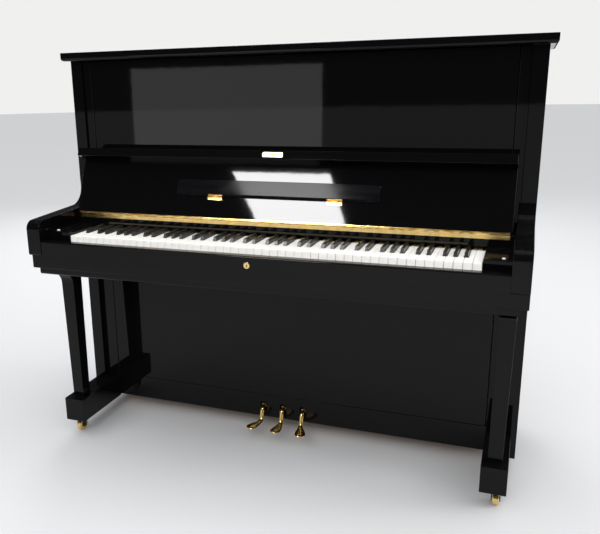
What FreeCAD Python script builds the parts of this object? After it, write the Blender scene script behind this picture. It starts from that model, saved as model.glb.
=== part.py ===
import FreeCAD, Part
import math
import os
from FreeCAD import Vector

os.makedirs("parts", exist_ok=True)

# An upright piano, in mm. X is to the player's right, Y to the back, Z up.
# The origin is on the floor, midway across the case and midway between the
# front of the arms and the back of the posts.

# Case
case_width = 1460.0
case_depth = 650.0
lid_top = 1267.0
side_thick = 40.0
side_bottom = 60.0
edge_round = 1.5
fit_gap = 1.5

# Lids
lid_thick = 26.0
lid_overhang = 20.0
lid_nose = 26.0
lid_under_round = 9.0
rear_lid_depth = 215.0

# Arms, which carry the case forward on both sides of the keyboard
arm_thick = 46.0
arm_reach = 303.0
arm_tail = 52.0
arm_tail_height = 195.0
arm_height = 119.0
arm_fall = 11.0
arm_sweep = 60.0
arm_nose = 28.0
arm_chin = 7.0

# Key bed and the moulding below it
key_bed_top = 655.0
key_bed_thick = 43.0
key_bed_setback = 14.0
key_bed_tail = 142.0
moulding_thick = 22.0
moulding_setback = 25.0
moulding_inset = 18.0
moulding_width = 60.0
moulding_tail = 42.0

# Legs and toe blocks
leg_inset = 71.0
leg_top_width = 46.0
leg_foot_width = 38.0
leg_front_neck = 116.0
leg_foot_front = 118.0
leg_top_front = 89.0
leg_depth = 48.0
leg_foot_depth = 40.0
leg_flare = 52.0
toe_bottom = 56.0
toe_top = 136.0
toe_front = 89.0
toe_inset = 88.0
toe_width = 72.0

# Casters
wheel_radius = 22.0
wheel_width = 17.0
wheel_crown = 3.0
wheel_gap = 1.5
axle_radius = 3.0
axle_clearance = 0.05
fork_cheek = 2.5
fork_plate = 4.0
fork_size = 40.0
fork_leg = 16.0
front_caster_inset = 43.0
front_caster_y = 137.0
rear_caster_inset = 90.0
rear_caster_y = 50.0

# Lower front: rail with the pedal slots, stiles, panel and bottom board
rail_face = 325.0
rail_thick = 25.0
rail_bottom = 61.0
rail_top = 142.0
panel_face = 321.0
panel_thick = 18.0
lower_stile_width = 48.5
bottom_board_thick = 20.0
slot_width = 22.0
slot_low = 84.0
slot_high = 113.0

# Upper front: stiles and panel
upper_panel_face = 310.0
upper_stile_width = 30.0
upper_panel_lift = 2.0

# Keyboard
white_count = 52
white_pitch = 23.56
white_gap = 0.9
key_setback = 60.0
head_length = 50.0
key_pivot = 215.0
key_length = 362.0
key_body = 24.0
key_frame_height = 33.0
key_shoulder = 147.0
key_round = 1.0
sharp_width = 10.5
sharp_top_width = 8.6
sharp_rise = 12.0
sharp_gap = 1.4
sharp_slope = 6.0
stick_gap = 1.4
stick_drop = 3.0

# The 88 keys. Each note's stick takes one of the equal slots that its group of
# naturals is shared into: the scale degree that the group starts on, the
# naturals in it, its slots, and which slot the note has.
key_count = 88
note_names = (
    "a", "a_sharp", "b", "c", "c_sharp", "d", "d_sharp", "e", "f", "f_sharp", "g", "g_sharp"
)
white_notes = ("c", "d", "e", "f", "g", "a", "b")
note_slots = {
    "c": (0, 3, 5, 0),
    "c_sharp": (0, 3, 5, 1),
    "d": (0, 3, 5, 2),
    "d_sharp": (0, 3, 5, 3),
    "e": (0, 3, 5, 4),
    "f": (3, 4, 7, 0),
    "f_sharp": (3, 4, 7, 1),
    "g": (3, 4, 7, 2),
    "g_sharp": (3, 4, 7, 3),
    "a": (3, 4, 7, 4),
    "a_sharp": (3, 4, 7, 5),
    "b": (3, 4, 7, 6),
}

# Key frame, nameboard, blocks and slip
frame_rail = 40.0
frame_rail_edge = 3.0
front_rail_drop = 11.0
balance_ridge = 6.0
balance_drop = 4.0
seat_gap = 0.4
nameboard_thick = 20.0
nameboard_rise = 67.0
nameboard_drop = 2.0
shelf_thick = 12.0
block_setback = 57.5
block_rise = 69.0
block_gap = 1.5
slip_setback = 3.0
slip_thick = 20.0
slip_height = 45.0
slip_slope_start = 29.0
slip_tail = 54.0
slip_tail_drop = 9.0
slip_web = 10.0

# Fallboard, in its closed place, and the angle at which it stands open
fallboard_reach = 203.0
fallboard_axis_rise = 104.0
fallboard_thick = 16.0
fallboard_lip_depth = 55.0
fallboard_lip_thick = 26.0
fallboard_side_gap = 8.0
fallboard_rest_gap = 20.54
fallboard_nose = 9.0
strike_length = 63.0
strike_height = 13.0
strike_thick = 1.5

# Continuous hinges
barrel_radius = 3.2
lid_barrel_radius = 3.0
pin_radius = 1.3
pin_clearance = 0.05
leaf_thick = 1.2
knuckle_pitch = 24.0
knuckle_gap = 0.4
leaf_gap = 0.5
fixed_leaf_width = 15.0
moving_leaf_width = 7.0
lid_leaf_width = 19.0
hinge_inset = 6.0

# Music ledge on the inner face of the fallboard
ledge_length = 640.0
ledge_start = 68.0
ledge_height = 52.0
ledge_thick = 10.0
ledge_recess = 5.0
ledge_gap = 1.3
ledge_corner = 14.0
ledge_bevel = 8.0
ledge_barrel = 2.5
ledge_hinge_x = 188.0
ledge_hinge_width = 46.0
ledge_hinge_leaf = 7.0
ledge_leaf_thick = 1.0
ledge_strap = 1.4

# Lock
escutcheon_radius = 9.0
escutcheon_thick = 1.5
keyhole_radius = 2.2
keyhole_slot = 6.0
keyhole_width = 2.4
escutcheon_rise = 20.0

# Pedals, their brackets and rods
pedal_x = (-78.0, -8.0, 62.0)
pedal_splay = (-20.0, 0.0, 20.0)
pedal_names = ("left_pedal", "middle_pedal", "right_pedal")
rod_names = ("left_pedal_rod", "middle_pedal_rod", "right_pedal_rod")
pedal_width = 14.0
pedal_thick = 9.0
pedal_pivot_y = 375.0
pedal_pivot_z = 98.0
pedal_tail = 86.0
pedal_neck_y = 310.0
pedal_sole_z = 50.0
pedal_foot_y = 238.0
pedal_foot_width = 38.0
pedal_hub = 9.0
pedal_pin = 4.0
pedal_pin_clearance = 0.05
bracket_cheek = 4.0
bracket_gap = 0.8
bracket_length = 30.0
rod_radius = 6.0
rod_lever = 80.0
rod_pad = 1.5
rod_rise = 157.0

# Back: posts, beams, soundboard, plate and strings
string_plane = 480.0
bass_plane = 471.0
plate_front = 490.0
plate_web = 13.0
plate_rim = 30.0
plate_border = 48.0
plate_foot = 110.0
plate_bar = 14.0
plate_bar_x = (-395.0, -60.0, 190.0, 430.0)
pin_block_height = 181.0
soundboard_thick = 8.0
rib_depth = 18.0
rib_width = 14.0
rib_count = 9
rib_tilt = 32.0
liner_width = 40.0
post_count = 5
post_width = 60.0
post_inset = 70.0
post_gap = 2.0
back_sill = 100.0
bridge_width = 30.0
bridge_gap = 2.5
tuning_pin_radius = 3.5
tuning_pin_length = 65.0
tuning_pin_proud = 26.0
tuning_row_pitch = 30.0
tuning_rows = 4
pins_below_top = 70.0
bass_count = 28
string_end_gap = 5.2
string_lift = 20.0
pin_spread = 4.5
pin_drop = 7.5
string_spread = 4.0
bass_cross = 430.0
treble_lean = 60.0
treble_foot = 190.0
treble_climb = 540.0
hitch_depth = 50.0
hitch_steps = 9
treble_curve = 1.6
bridge_share = 0.68
bass_bridge_share = 0.84
treble_string_radius = 0.6
bass_string_radius = 1.4

# Action
action_x = 640.0
bracket_x = (-600.0, -205.0, 205.0, 600.0)
bracket_thick = 10.0
bracket_head_rise = 383.0
bracket_front = 350.0
bracket_back = 438.0
bracket_bar = 10.0
main_rail_front = 422.0
main_rail_depth = 16.0
main_rail_rise = 225.0
main_rail_height = 30.0
hammer_width = 9.0
hammer_pivot_y = 407.0
hammer_pivot_rise = 245.0
hammer_rise = 120.0
hammer_lean = 12.0
hammer_shank = 6.0
hammer_butt = 20.0
hammer_head = 44.0
hammer_head_height = 26.0
rest_rail_y = 364.0
rest_rail_depth = 18.0
rest_rail_height = 24.0
wippen_front = 360.0
wippen_length = 60.0
wippen_rise = 135.0
wippen_height = 14.0
sticker_height = 64.0
sticker_depth = 10.0
jack_height = 44.0
damper_count = 68
damper_width = 8.0
damper_pivot_y = 447.0
damper_pivot_rise = 185.0
damper_arm = 5.0
damper_rise = 100.0
damper_head_depth = 19.0
damper_head_height = 30.0
muffler_y = 449.0
muffler_thick = 3.0
muffler_height = 26.0
muffler_rise = 389.0
muffler_batten = 10.0

# Planes and faces that follow from the sizes above
half_width = case_width / 2
inner_x = half_width - side_thick
arm_inner_x = half_width - arm_thick
leg_inner_x = half_width - leg_inset
toe_inner_x = half_width - toe_inset
front_caster_x = half_width - front_caster_inset
front = -case_depth / 2
back = case_depth / 2
lid_bottom = lid_top - lid_thick
case_front = front + arm_reach
key_bed_bottom = key_bed_top - key_bed_thick
moulding_bottom = key_bed_bottom - moulding_thick
nameboard_bottom = key_bed_top + nameboard_rise
block_top = key_bed_top + block_rise
fallboard_axis_z = key_bed_top + fallboard_axis_rise
escutcheon_z = key_bed_top + escutcheon_rise
rod_top = key_bed_top + rod_rise
bracket_head_z = key_bed_top + bracket_head_rise
main_rail_z = key_bed_top + main_rail_rise
hammer_pivot_z = key_bed_top + hammer_pivot_rise
wippen_z = key_bed_top + wippen_rise
damper_pivot_z = key_bed_top + damper_pivot_rise
muffler_bottom = key_bed_top + muffler_rise
bracket_top = bracket_head_z + bracket_bar
lid_hinge_y = back - rear_lid_depth
key_front = front + key_setback
pivot_y = key_front + key_pivot
key_bottom = key_bed_top + key_frame_height
key_top = key_bottom + key_body
keyboard_half = white_count * white_pitch / 2
axis_y = front + slip_setback + fallboard_reach
nameboard_face = axis_y + barrel_radius
nameboard_top = fallboard_axis_z - nameboard_drop
upper_bottom = nameboard_top + upper_panel_lift
soundboard_face = front + plate_front + plate_rim
rib_back = soundboard_face + soundboard_thick + rib_depth
post_front = rib_back + post_gap
pin_block_bottom = lid_bottom - pin_block_height
strings_y = front + string_plane
bass_y = front + bass_plane
fallboard_room = front + upper_panel_face - fallboard_rest_gap - axis_y
fallboard_radius = math.hypot(fallboard_reach, fallboard_thick / 2)
fallboard_lean = math.asin(fallboard_room / fallboard_radius) - math.atan2(
    fallboard_thick / 2, fallboard_reach
)
fallboard_open = 90.0 + math.degrees(fallboard_lean)
ledge_low = -fallboard_thick / 2 + ledge_recess - ledge_thick
ledge_axis_z = -fallboard_thick / 2 - ledge_barrel - leaf_gap


def box(x0, x1, y0, y1, z0, z1):
    """A box between two corners."""
    return Part.makeBox(x1 - x0, y1 - y0, z1 - z0, Vector(x0, y0, z0))


def board(x0, x1, y0, y1, z0, z1, radius=edge_round):
    """A board with every edge eased."""
    solid = box(x0, x1, y0, y1, z0, z1)
    return solid.makeFillet(radius, solid.Edges)


def prism(points, x0, x1):
    """A flat outline of (y, z) points drawn out from x0 to x1."""
    ring = [Vector(x0, y, z) for y, z in points]
    face = Part.Face(Part.makePolygon(ring + ring[:1]))
    return face.extrude(Vector(x1 - x0, 0, 0))


def rod(radius, start, end):
    """A round bar between two points."""
    run = end - start
    return Part.makeCylinder(radius, run.Length, start, run)


def eased(solid, radius, keep):
    """The solid with a fillet on those edges for which keep is true."""
    edges = [edge for edge in solid.Edges if keep(edge.BoundBox)]
    return solid.makeFillet(radius, edges)


def mirrored(solid):
    """The solid's twin on the other side of the case."""
    return solid.mirror(Vector(0, 0, 0), Vector(1, 0, 0))


def pair(solid):
    """A solid and its twin."""
    return [solid, mirrored(solid)]


def save(node, solids):
    """Write one node's solids as a STEP file."""
    shape = solids[0] if len(solids) == 1 else Part.makeCompound(solids)
    shape.exportStep("parts/" + node + ".step")


def side_panel():
    """Right-hand side: one board, notched where the arm is let in."""
    sheet = box(inner_x, half_width, case_front, back, side_bottom, lid_bottom)
    notch_top = key_bed_top + arm_tail_height
    notch = box(
        inner_x - 1, half_width + 1, case_front - 1, case_front + arm_tail, key_bed_top, notch_top
    )
    return sheet.cut(notch)


def arm():
    """Right-hand arm: swept down from the case front to a rounded nose."""
    bottom = key_bed_top
    top = bottom + arm_height
    nose_top = top - arm_fall
    tail = case_front + arm_tail
    tail_top = bottom + arm_tail_height
    sweep_y = case_front - arm_sweep
    sweep_z = top + arm_sweep
    nose_y = front + arm_nose
    nose_z = nose_top - arm_nose
    diagonal = math.sqrt(0.5)

    def at(y, z):
        return Vector(inner_x, y, z)

    sweep_mid = at(sweep_y + arm_sweep * diagonal, sweep_z - arm_sweep * diagonal)
    nose_mid = at(nose_y - arm_nose * diagonal, nose_z + arm_nose * diagonal)
    chin_mid = at(
        front + arm_chin * (1 - diagonal), bottom + arm_chin * (1 - diagonal)
    )
    outline = [
        Part.makeLine(at(tail, bottom), at(tail, tail_top)),
        Part.makeLine(at(tail, tail_top), at(case_front, tail_top)),
        Part.makeLine(at(case_front, tail_top), at(case_front, sweep_z)),
        Part.Arc(at(case_front, sweep_z), sweep_mid, at(sweep_y, top)).toShape(),
        Part.makeLine(at(sweep_y, top), at(nose_y, nose_top)),
        Part.Arc(at(nose_y, nose_top), nose_mid, at(front, nose_z)).toShape(),
        Part.makeLine(at(front, nose_z), at(front, bottom + arm_chin)),
        Part.Arc(
            at(front, bottom + arm_chin), chin_mid, at(front + arm_chin, bottom)
        ).toShape(),
        Part.makeLine(at(front + arm_chin, bottom), at(tail, bottom)),
    ]
    face = Part.Face(Part.Wire(outline))
    outer = face.extrude(Vector(side_thick, 0, 0))
    cheek = face.extrude(Vector(arm_inner_x - inner_x, 0, 0))
    reach = box(
        arm_inner_x, inner_x, front - 1, case_front, bottom - 1, tail_top + 1
    )
    whole = outer.fuse(cheek.common(reach)).removeSplitter()
    return eased(
        whole,
        edge_round,
        lambda b: b.YMax < case_front - 1
        and b.XLength < 0.01
        and b.ZMin > bottom + 0.1,
    )


def leg():
    """Right-hand leg: a tapered post whose top flares forward to the moulding."""
    top = moulding_bottom
    flare_z = top - leg_flare
    foot_y = front + leg_foot_front
    neck_y = front + leg_front_neck
    top_y = front + leg_top_front
    outline = [
        Part.makeLine(Vector(0, foot_y + leg_foot_depth, toe_top), Vector(0, foot_y, toe_top)),
        Part.makeLine(Vector(0, foot_y, toe_top), Vector(0, neck_y, flare_z)),
    ]
    flare = Part.BezierCurve()
    flare.setPoles(
        [
            Vector(0, neck_y, flare_z),
            Vector(0, neck_y, flare_z + leg_flare / 2),
            Vector(0, top_y, top - leg_flare / 3),
            Vector(0, top_y, top),
        ]
    )
    outline.append(flare.toShape())
    outline.append(Part.makeLine(Vector(0, top_y, top), Vector(0, neck_y + leg_depth, top)))
    outline.append(
        Part.makeLine(
            Vector(0, neck_y + leg_depth, top), Vector(0, foot_y + leg_foot_depth, toe_top)
        )
    )
    side = Part.Face(Part.Wire(outline)).extrude(Vector(half_width, 0, 0))
    outer_top = leg_inner_x + leg_top_width
    outer_foot = leg_inner_x + leg_foot_width
    corners = [
        (leg_inner_x, toe_top),
        (outer_foot, toe_top),
        (outer_top, top),
        (leg_inner_x, top),
    ]
    ring = [Vector(x, front, z) for x, z in corners]
    taper = Part.Face(Part.makePolygon(ring + ring[:1])).extrude(Vector(0, case_depth, 0))
    return eased(side.common(taper), edge_round, lambda b: b.ZLength > leg_flare / 2)


def toe_block():
    """Right-hand toe block: carries the leg and the front caster."""
    outer = toe_inner_x + toe_width
    ahead = box(toe_inner_x, outer, front + toe_front, case_front, toe_bottom, toe_top)
    inner = box(
        toe_inner_x, inner_x, case_front, front + rail_face, toe_bottom, toe_top
    )
    whole = ahead.fuse(inner).removeSplitter()
    return eased(whole, edge_round, lambda b: b.YMin < front + toe_front + 0.1)


def key_bed():
    """The key bed, and the moulding frame glued below it."""
    ahead = box(
        -half_width,
        half_width,
        front + key_bed_setback,
        case_front,
        key_bed_bottom,
        key_bed_top,
    )
    ahead = eased(ahead, edge_round * 2, lambda b: b.YMax < case_front - 1)
    behind = box(
        -inner_x,
        inner_x,
        case_front,
        case_front + key_bed_tail,
        key_bed_bottom,
        key_bed_top,
    )
    side_x = half_width - moulding_inset
    moulding_front = front + moulding_setback
    strip = box(
        -side_x,
        side_x,
        moulding_front,
        moulding_front + moulding_width,
        moulding_bottom,
        key_bed_bottom,
    )
    strip = eased(
        strip,
        moulding_thick / 3,
        lambda b: b.YMax < moulding_front + 1 and b.ZMax < key_bed_bottom - 1,
    )
    rear = box(
        -inner_x,
        inner_x,
        case_front,
        case_front + moulding_tail,
        moulding_bottom,
        key_bed_bottom,
    )
    strips = [strip, rear]
    for end in (-1, 1):
        x0, x1 = sorted((end * side_x, end * (side_x - moulding_width)))
        strips.append(
            box(
                x0, x1, moulding_front + moulding_width, case_front, moulding_bottom, key_bed_bottom
            )
        )
    return [ahead.fuse(behind).removeSplitter()] + strips


def front_stiles():
    """Upright strips inside the sides that the upper and lower panels close on."""
    upper = board(
        inner_x - upper_stile_width,
        inner_x,
        front + upper_panel_face,
        front + upper_panel_face + panel_thick,
        nameboard_top,
        lid_bottom,
    )
    lower = board(
        inner_x - lower_stile_width,
        inner_x,
        front + panel_face,
        front + panel_face + panel_thick,
        rail_top,
        moulding_bottom,
    )
    return pair(upper) + pair(lower)


def upper_panel():
    """Front panel above the keyboard."""
    reach = inner_x - upper_stile_width - fit_gap
    face = front + upper_panel_face
    top = lid_bottom - upper_panel_lift
    return board(-reach, reach, face, face + panel_thick, upper_bottom, top)


def lower_panel():
    """Front panel below the key bed."""
    reach = inner_x - lower_stile_width - fit_gap
    face = front + panel_face
    return board(
        -reach,
        reach,
        face,
        face + panel_thick,
        rail_top + upper_panel_lift,
        moulding_bottom - upper_panel_lift,
    )


def bottom_rail():
    """Rail below the lower panel, with a slot for each pedal."""
    face = front + rail_face
    rail = board(-inner_x, inner_x, face, face + rail_thick, rail_bottom, rail_top)
    for x in pedal_x:
        slot = box(
            x - slot_width / 2,
            x + slot_width / 2,
            face - 1,
            face + rail_thick + 1,
            slot_low,
            slot_high,
        )
        rail = rail.cut(slot)
    return rail


def bottom_board():
    """Floor of the case, which carries the pedal brackets."""
    face = front + rail_face + rail_thick
    top = rail_bottom + bottom_board_thick
    return box(-inner_x, inner_x, face, post_front, rail_bottom, top)


def lid(y0, y1, nose):
    """One of the two lids; the nose and the ends are rounded underneath."""
    reach = half_width + lid_overhang
    slab = box(-reach, reach, y0, y1, lid_bottom, lid_top)

    def below(b):
        low = b.ZMax < lid_bottom + 0.1
        end = b.XLength < 0.1 and b.YLength > 1
        return low and (end or (nose and b.YMax < y0 + 0.1))

    slab = eased(slab, lid_under_round, below)
    return eased(slab, edge_round, lambda b: b.ZMin > lid_top - 0.1)


def continuous_hinge(length, radius, fixed, moving, axis_y_at, axis_z_at):
    """A full-length hinge: leaf and knuckles of each half, with the pin fixed.

    Both leaves hang down from the barrel, the fixed one behind, the moving
    one in front, and the knuckles take turns along the length.
    """
    halves = []
    count = int(length / knuckle_pitch / 2) * 2 + 1
    pitch = length / count
    bore = pin_radius + pin_clearance
    for side, width in ((1, fixed), (-1, moving)):
        y0, y1 = sorted((side * radius, side * (radius - leaf_thick)))
        half = box(0, length, y0, y1, -width, -radius - leaf_gap)
        parts = []
        first = 0 if side > 0 else 1
        for n in range(first, count, 2):
            x0 = n * pitch + knuckle_gap / 2
            x1 = (n + 1) * pitch - knuckle_gap / 2
            tube = Part.makeCylinder(radius, x1 - x0, Vector(x0, 0, 0), Vector(1, 0, 0))
            parts.append(tube.fuse(box(x0, x1, y0, y1, -radius - leaf_gap - 0.1, 0)))
        half = half.multiFuse(parts)
        hole = pin_radius if side > 0 else bore
        eye = Part.makeCylinder(hole, length + 2, Vector(-1, 0, 0), Vector(1, 0, 0))
        half = half.cut(eye)
        if side > 0:
            half = half.fuse(
                Part.makeCylinder(pin_radius, length, Vector(0, 0, 0), Vector(1, 0, 0))
            )
        half = half.removeSplitter()
        half.translate(Vector(-length / 2, axis_y_at, axis_z_at))
        halves.append(half)
    return halves


def opened(solid):
    """A piece of the closed fallboard, turned up to where it stands open."""
    turned = solid.copy()
    turned.rotate(Vector(0, axis_y, fallboard_axis_z), Vector(1, 0, 0), -fallboard_open)
    return turned


def fallboard():
    """Keyboard cover: a board with a deep lip, recessed for the music ledge."""
    reach = arm_inner_x - fallboard_side_gap
    half = fallboard_thick / 2
    outline = [
        (-barrel_radius, -half),
        (-fallboard_reach + fallboard_lip_thick, -half),
        (-fallboard_reach + fallboard_lip_thick, -fallboard_lip_depth),
        (-fallboard_reach, -fallboard_lip_depth),
        (-fallboard_reach, half),
        (-barrel_radius, half),
    ]
    solid = prism(
        [(axis_y + y, fallboard_axis_z + z) for y, z in outline], -reach, reach
    )
    face_y = axis_y - fallboard_reach
    top_z = fallboard_axis_z + half
    solid = eased(
        solid,
        fallboard_nose,
        lambda b: b.XLength > 1 and b.YMax < face_y + 0.1 and b.ZMin > top_z - 0.1,
    )
    low_z = fallboard_axis_z - fallboard_lip_depth
    solid = eased(
        solid, edge_round, lambda b: b.XLength > 1 and b.ZMax < low_z + 0.1
    )
    solid = eased(
        solid, edge_round, lambda b: b.XLength < 0.1 and b.YMin < axis_y - 2 * barrel_radius
    )
    seat = ledge_blank(ledge_gap, ledge_thick)
    return opened(solid.cut(seat))


def ledge_blank(grow, height):
    """The music ledge's outline, with its two outer corners rounded."""
    reach = ledge_length / 2 + grow
    y1 = axis_y - ledge_start + grow
    y0 = axis_y - ledge_start - ledge_height - grow
    top = fallboard_axis_z - fallboard_thick / 2 + ledge_recess
    slab = box(-reach, reach, y0, y1, top - height, top)
    return eased(
        slab, ledge_corner, lambda b: b.ZLength > 1 and b.YMax < y0 + 0.1
    )


def music_ledge():
    """Flap on the fallboard's inner face that folds out to hold the music."""
    solid = ledge_blank(0, ledge_thick)
    low = fallboard_axis_z + ledge_low
    hinge_edge = axis_y - ledge_start
    long_edges = [
        edge
        for edge in solid.Edges
        if edge.BoundBox.XLength > 1
        and edge.BoundBox.ZMax < low + 0.1
        and edge.BoundBox.YMin > hinge_edge - 0.1
    ]
    solid = solid.makeChamfer(ledge_bevel, long_edges)
    return opened(eased(solid, edge_round / 2, lambda b: b.ZMax < low + 0.1))


def ledge_hinge_plate(x0, x1, y, z, face):
    """Half of a butt hinge on the fallboard's face: leaf, two knuckles and the pin."""
    third = (x1 - x0) / 3
    outer_y = y + ledge_hinge_leaf
    plate = box(x0, x1, y + ledge_barrel + leaf_gap, outer_y, face - ledge_leaf_thick, face)
    pin = Part.makeCylinder(pin_radius, x1 - x0, Vector(x0, y, z), Vector(1, 0, 0))
    for start in (x0, x1 - third):
        tube = Part.makeCylinder(ledge_barrel, third, Vector(start, y, z), Vector(1, 0, 0))
        tab = box(start, start + third, y, y + ledge_barrel + 2 * leaf_gap, z, face)
        plate = plate.fuse(tube).fuse(tab)
    return plate.fuse(pin).removeSplitter()


def ledge_hinge_leaf_on_bevel(x0, x1, y, z):
    """Half of a butt hinge on the ledge's bevel: leaf, strap and the middle knuckle."""
    third = (x1 - x0) / 3
    mid0 = x0 + third + knuckle_gap
    mid1 = x1 - third - knuckle_gap
    down = Vector(0, -1, -1).normalize()
    out = Vector(0, 1, -1).normalize()
    root = Vector(
        0, axis_y - ledge_start, fallboard_axis_z + ledge_low + ledge_bevel
    )
    slope = ledge_bevel * math.sqrt(2)
    top = root + down * (slope / 8)
    foot = root + down * (slope - slope / 8)
    leaf_ring = [top, foot, foot + out * ledge_leaf_thick, top + out * ledge_leaf_thick]
    leaf = prism([(corner.y, corner.z) for corner in leaf_ring], x0, x1)
    pin_line = Vector(0, y, z)
    grip = root + down * (slope / 3) + out * (ledge_leaf_thick / 2)
    run = (pin_line - grip).normalize()
    half = Vector(0, -run.z, run.y) * (ledge_strap / 2)
    strap_ring = [grip - half, pin_line - half, pin_line + half, grip + half]
    strap = prism([(corner.y, corner.z) for corner in strap_ring], mid0, mid1)
    tube = Part.makeCylinder(ledge_barrel, mid1 - mid0, Vector(mid0, y, z), Vector(1, 0, 0))
    eye = Part.makeCylinder(
        pin_radius + pin_clearance, x1 - x0, Vector(x0, y, z), Vector(1, 0, 0)
    )
    return leaf.fuse(strap).fuse(tube).cut(eye).removeSplitter()


def ledge_hinges():
    """Two butt hinges: halves on the fallboard and halves on the ledge."""
    y = axis_y - ledge_start + ledge_barrel
    z = fallboard_axis_z + ledge_axis_z
    face = fallboard_axis_z - fallboard_thick / 2
    still = []
    swinging = []
    for x in (-ledge_hinge_x, ledge_hinge_x):
        x0 = x - ledge_hinge_width / 2
        x1 = x + ledge_hinge_width / 2
        still.append(opened(ledge_hinge_plate(x0, x1, y, z, face)))
        swinging.append(opened(ledge_hinge_leaf_on_bevel(x0, x1, y, z)))
    return still, swinging


def strike_plate():
    """Brass plate on the edge of the fallboard's lip, with the bolt's slot."""
    y = axis_y - fallboard_reach + fallboard_lip_thick / 2
    z = fallboard_axis_z - fallboard_lip_depth
    plate = box(
        -strike_length / 2,
        strike_length / 2,
        y - strike_height / 2,
        y + strike_height / 2,
        z - strike_thick,
        z,
    )
    plate = eased(plate, strike_height / 3, lambda b: b.ZLength > 1)
    slot = box(
        -strike_length / 6,
        strike_length / 6,
        y - strike_height / 6,
        y + strike_height / 6,
        z - 2 * strike_thick,
        z + 1,
    )
    return opened(plate.cut(slot))


def lock_escutcheon():
    """Round brass escutcheon with a keyhole."""
    face = front + slip_setback
    disc = Part.makeCylinder(
        escutcheon_radius,
        escutcheon_thick,
        Vector(0, face - escutcheon_thick, escutcheon_z),
        Vector(0, 1, 0),
    )
    disc = eased(disc, escutcheon_thick / 2, lambda b: b.YMax < face - escutcheon_thick / 2)
    hole = Part.makeCylinder(
        keyhole_radius,
        escutcheon_thick * 3,
        Vector(0, face - 2 * escutcheon_thick, escutcheon_z),
        Vector(0, 1, 0),
    )
    slot = box(
        -keyhole_width / 2,
        keyhole_width / 2,
        face - 2 * escutcheon_thick,
        face + escutcheon_thick,
        escutcheon_z - keyhole_slot,
        escutcheon_z,
    )
    return disc.cut(hole).cut(slot)


def key_slip():
    """Rail in front of the keys, with a shelf that runs back to them."""
    face = front + slip_setback
    top = key_bed_top + slip_height
    outline = [
        (face, key_bed_top),
        (face, top),
        (face + slip_slope_start, top),
        (face + slip_tail, top - slip_tail_drop),
        (face + slip_tail, top - slip_tail_drop - slip_web),
        (face + slip_thick, top - slip_web),
        (face + slip_thick, key_bed_top),
    ]
    solid = prism(outline, -arm_inner_x, arm_inner_x)
    return eased(
        solid,
        2 * edge_round,
        lambda b: b.XLength > 1 and b.YMax < face + 0.1 and b.ZMin > top - 0.1,
    )


def key_blocks():
    """Blocks that fill the keyboard's ends."""
    inner = keyboard_half + block_gap
    block = box(
        inner,
        arm_inner_x,
        front + block_setback,
        nameboard_face,
        key_bed_top,
        block_top,
    )
    block = eased(
        block,
        2 * edge_round,
        lambda b: b.YMax < nameboard_face - 1 and b.ZMin > key_bed_top + 1,
    )
    return pair(block)


def nameboard():
    """Board behind the keys and the shelf on its top edge."""
    upright = board(
        -arm_inner_x,
        arm_inner_x,
        nameboard_face,
        nameboard_face + nameboard_thick,
        nameboard_bottom,
        nameboard_top,
    )
    shelf = box(
        -arm_inner_x,
        arm_inner_x,
        nameboard_face + nameboard_thick,
        case_front,
        nameboard_top - shelf_thick,
        nameboard_top,
    )
    tail = box(
        -inner_x,
        inner_x,
        case_front,
        front + upper_panel_face + panel_thick,
        nameboard_top - shelf_thick,
        nameboard_top,
    )
    return [upright, shelf.fuse(tail).removeSplitter()]


def key_slots():
    """Every key's note, white-key left edge and the stick's left and right edges."""
    slots = []
    white = 0
    for n in range(key_count):
        note = note_names[n % len(note_names)]
        group_start, group_whites, group_keys, place = note_slots[note]
        if "_" in note:
            degree = white_notes.index(note[0])
            own = white - 1
        else:
            degree = white_notes.index(note)
            own = white
        start = (own - degree + group_start) * white_pitch - keyboard_half
        slot = group_whites * white_pitch / group_keys
        left = own * white_pitch - keyboard_half
        slots.append((note, left, start + place * slot, start + (place + 1) * slot))
        if "_" not in note:
            white += 1
    return slots


def white_key(slots, n):
    """One natural: head, tail between the sharps and the stick behind."""
    note, left, slot_left, slot_right = slots[n]
    head_left = left + white_gap / 2
    head_right = left + white_pitch - white_gap / 2
    trim = sharp_width / 2 + sharp_gap
    tail_left = head_left
    tail_right = head_right
    if n > 0 and "_" in slots[n - 1][0]:
        tail_left = (slots[n - 1][2] + slots[n - 1][3]) / 2 + trim
    if n + 1 < len(slots) and "_" in slots[n + 1][0]:
        tail_right = (slots[n + 1][2] + slots[n + 1][3]) / 2 - trim
    stick_left = max(slot_left, -keyboard_half) + stick_gap / 2
    stick_right = min(slot_right, keyboard_half) - stick_gap / 2
    head_end = key_front + head_length
    cover_end = key_front + key_shoulder
    tail_end = key_front + key_length
    head = box(head_left, head_right, key_front, head_end, key_bottom, key_top)
    head = eased(
        head,
        key_round,
        lambda b: b.ZMin > key_top - 0.1 and b.YMin < head_end - 0.1
        or b.ZLength > 1 and b.YMax < key_front + 0.1,
    )
    tail = box(tail_left, tail_right, head_end - key_round, cover_end, key_bottom, key_top)
    stick = box(
        stick_left, stick_right, cover_end - 1, tail_end, key_bottom, key_top - stick_drop
    )
    return head.fuse(tail).fuse(stick).removeSplitter()


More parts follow.
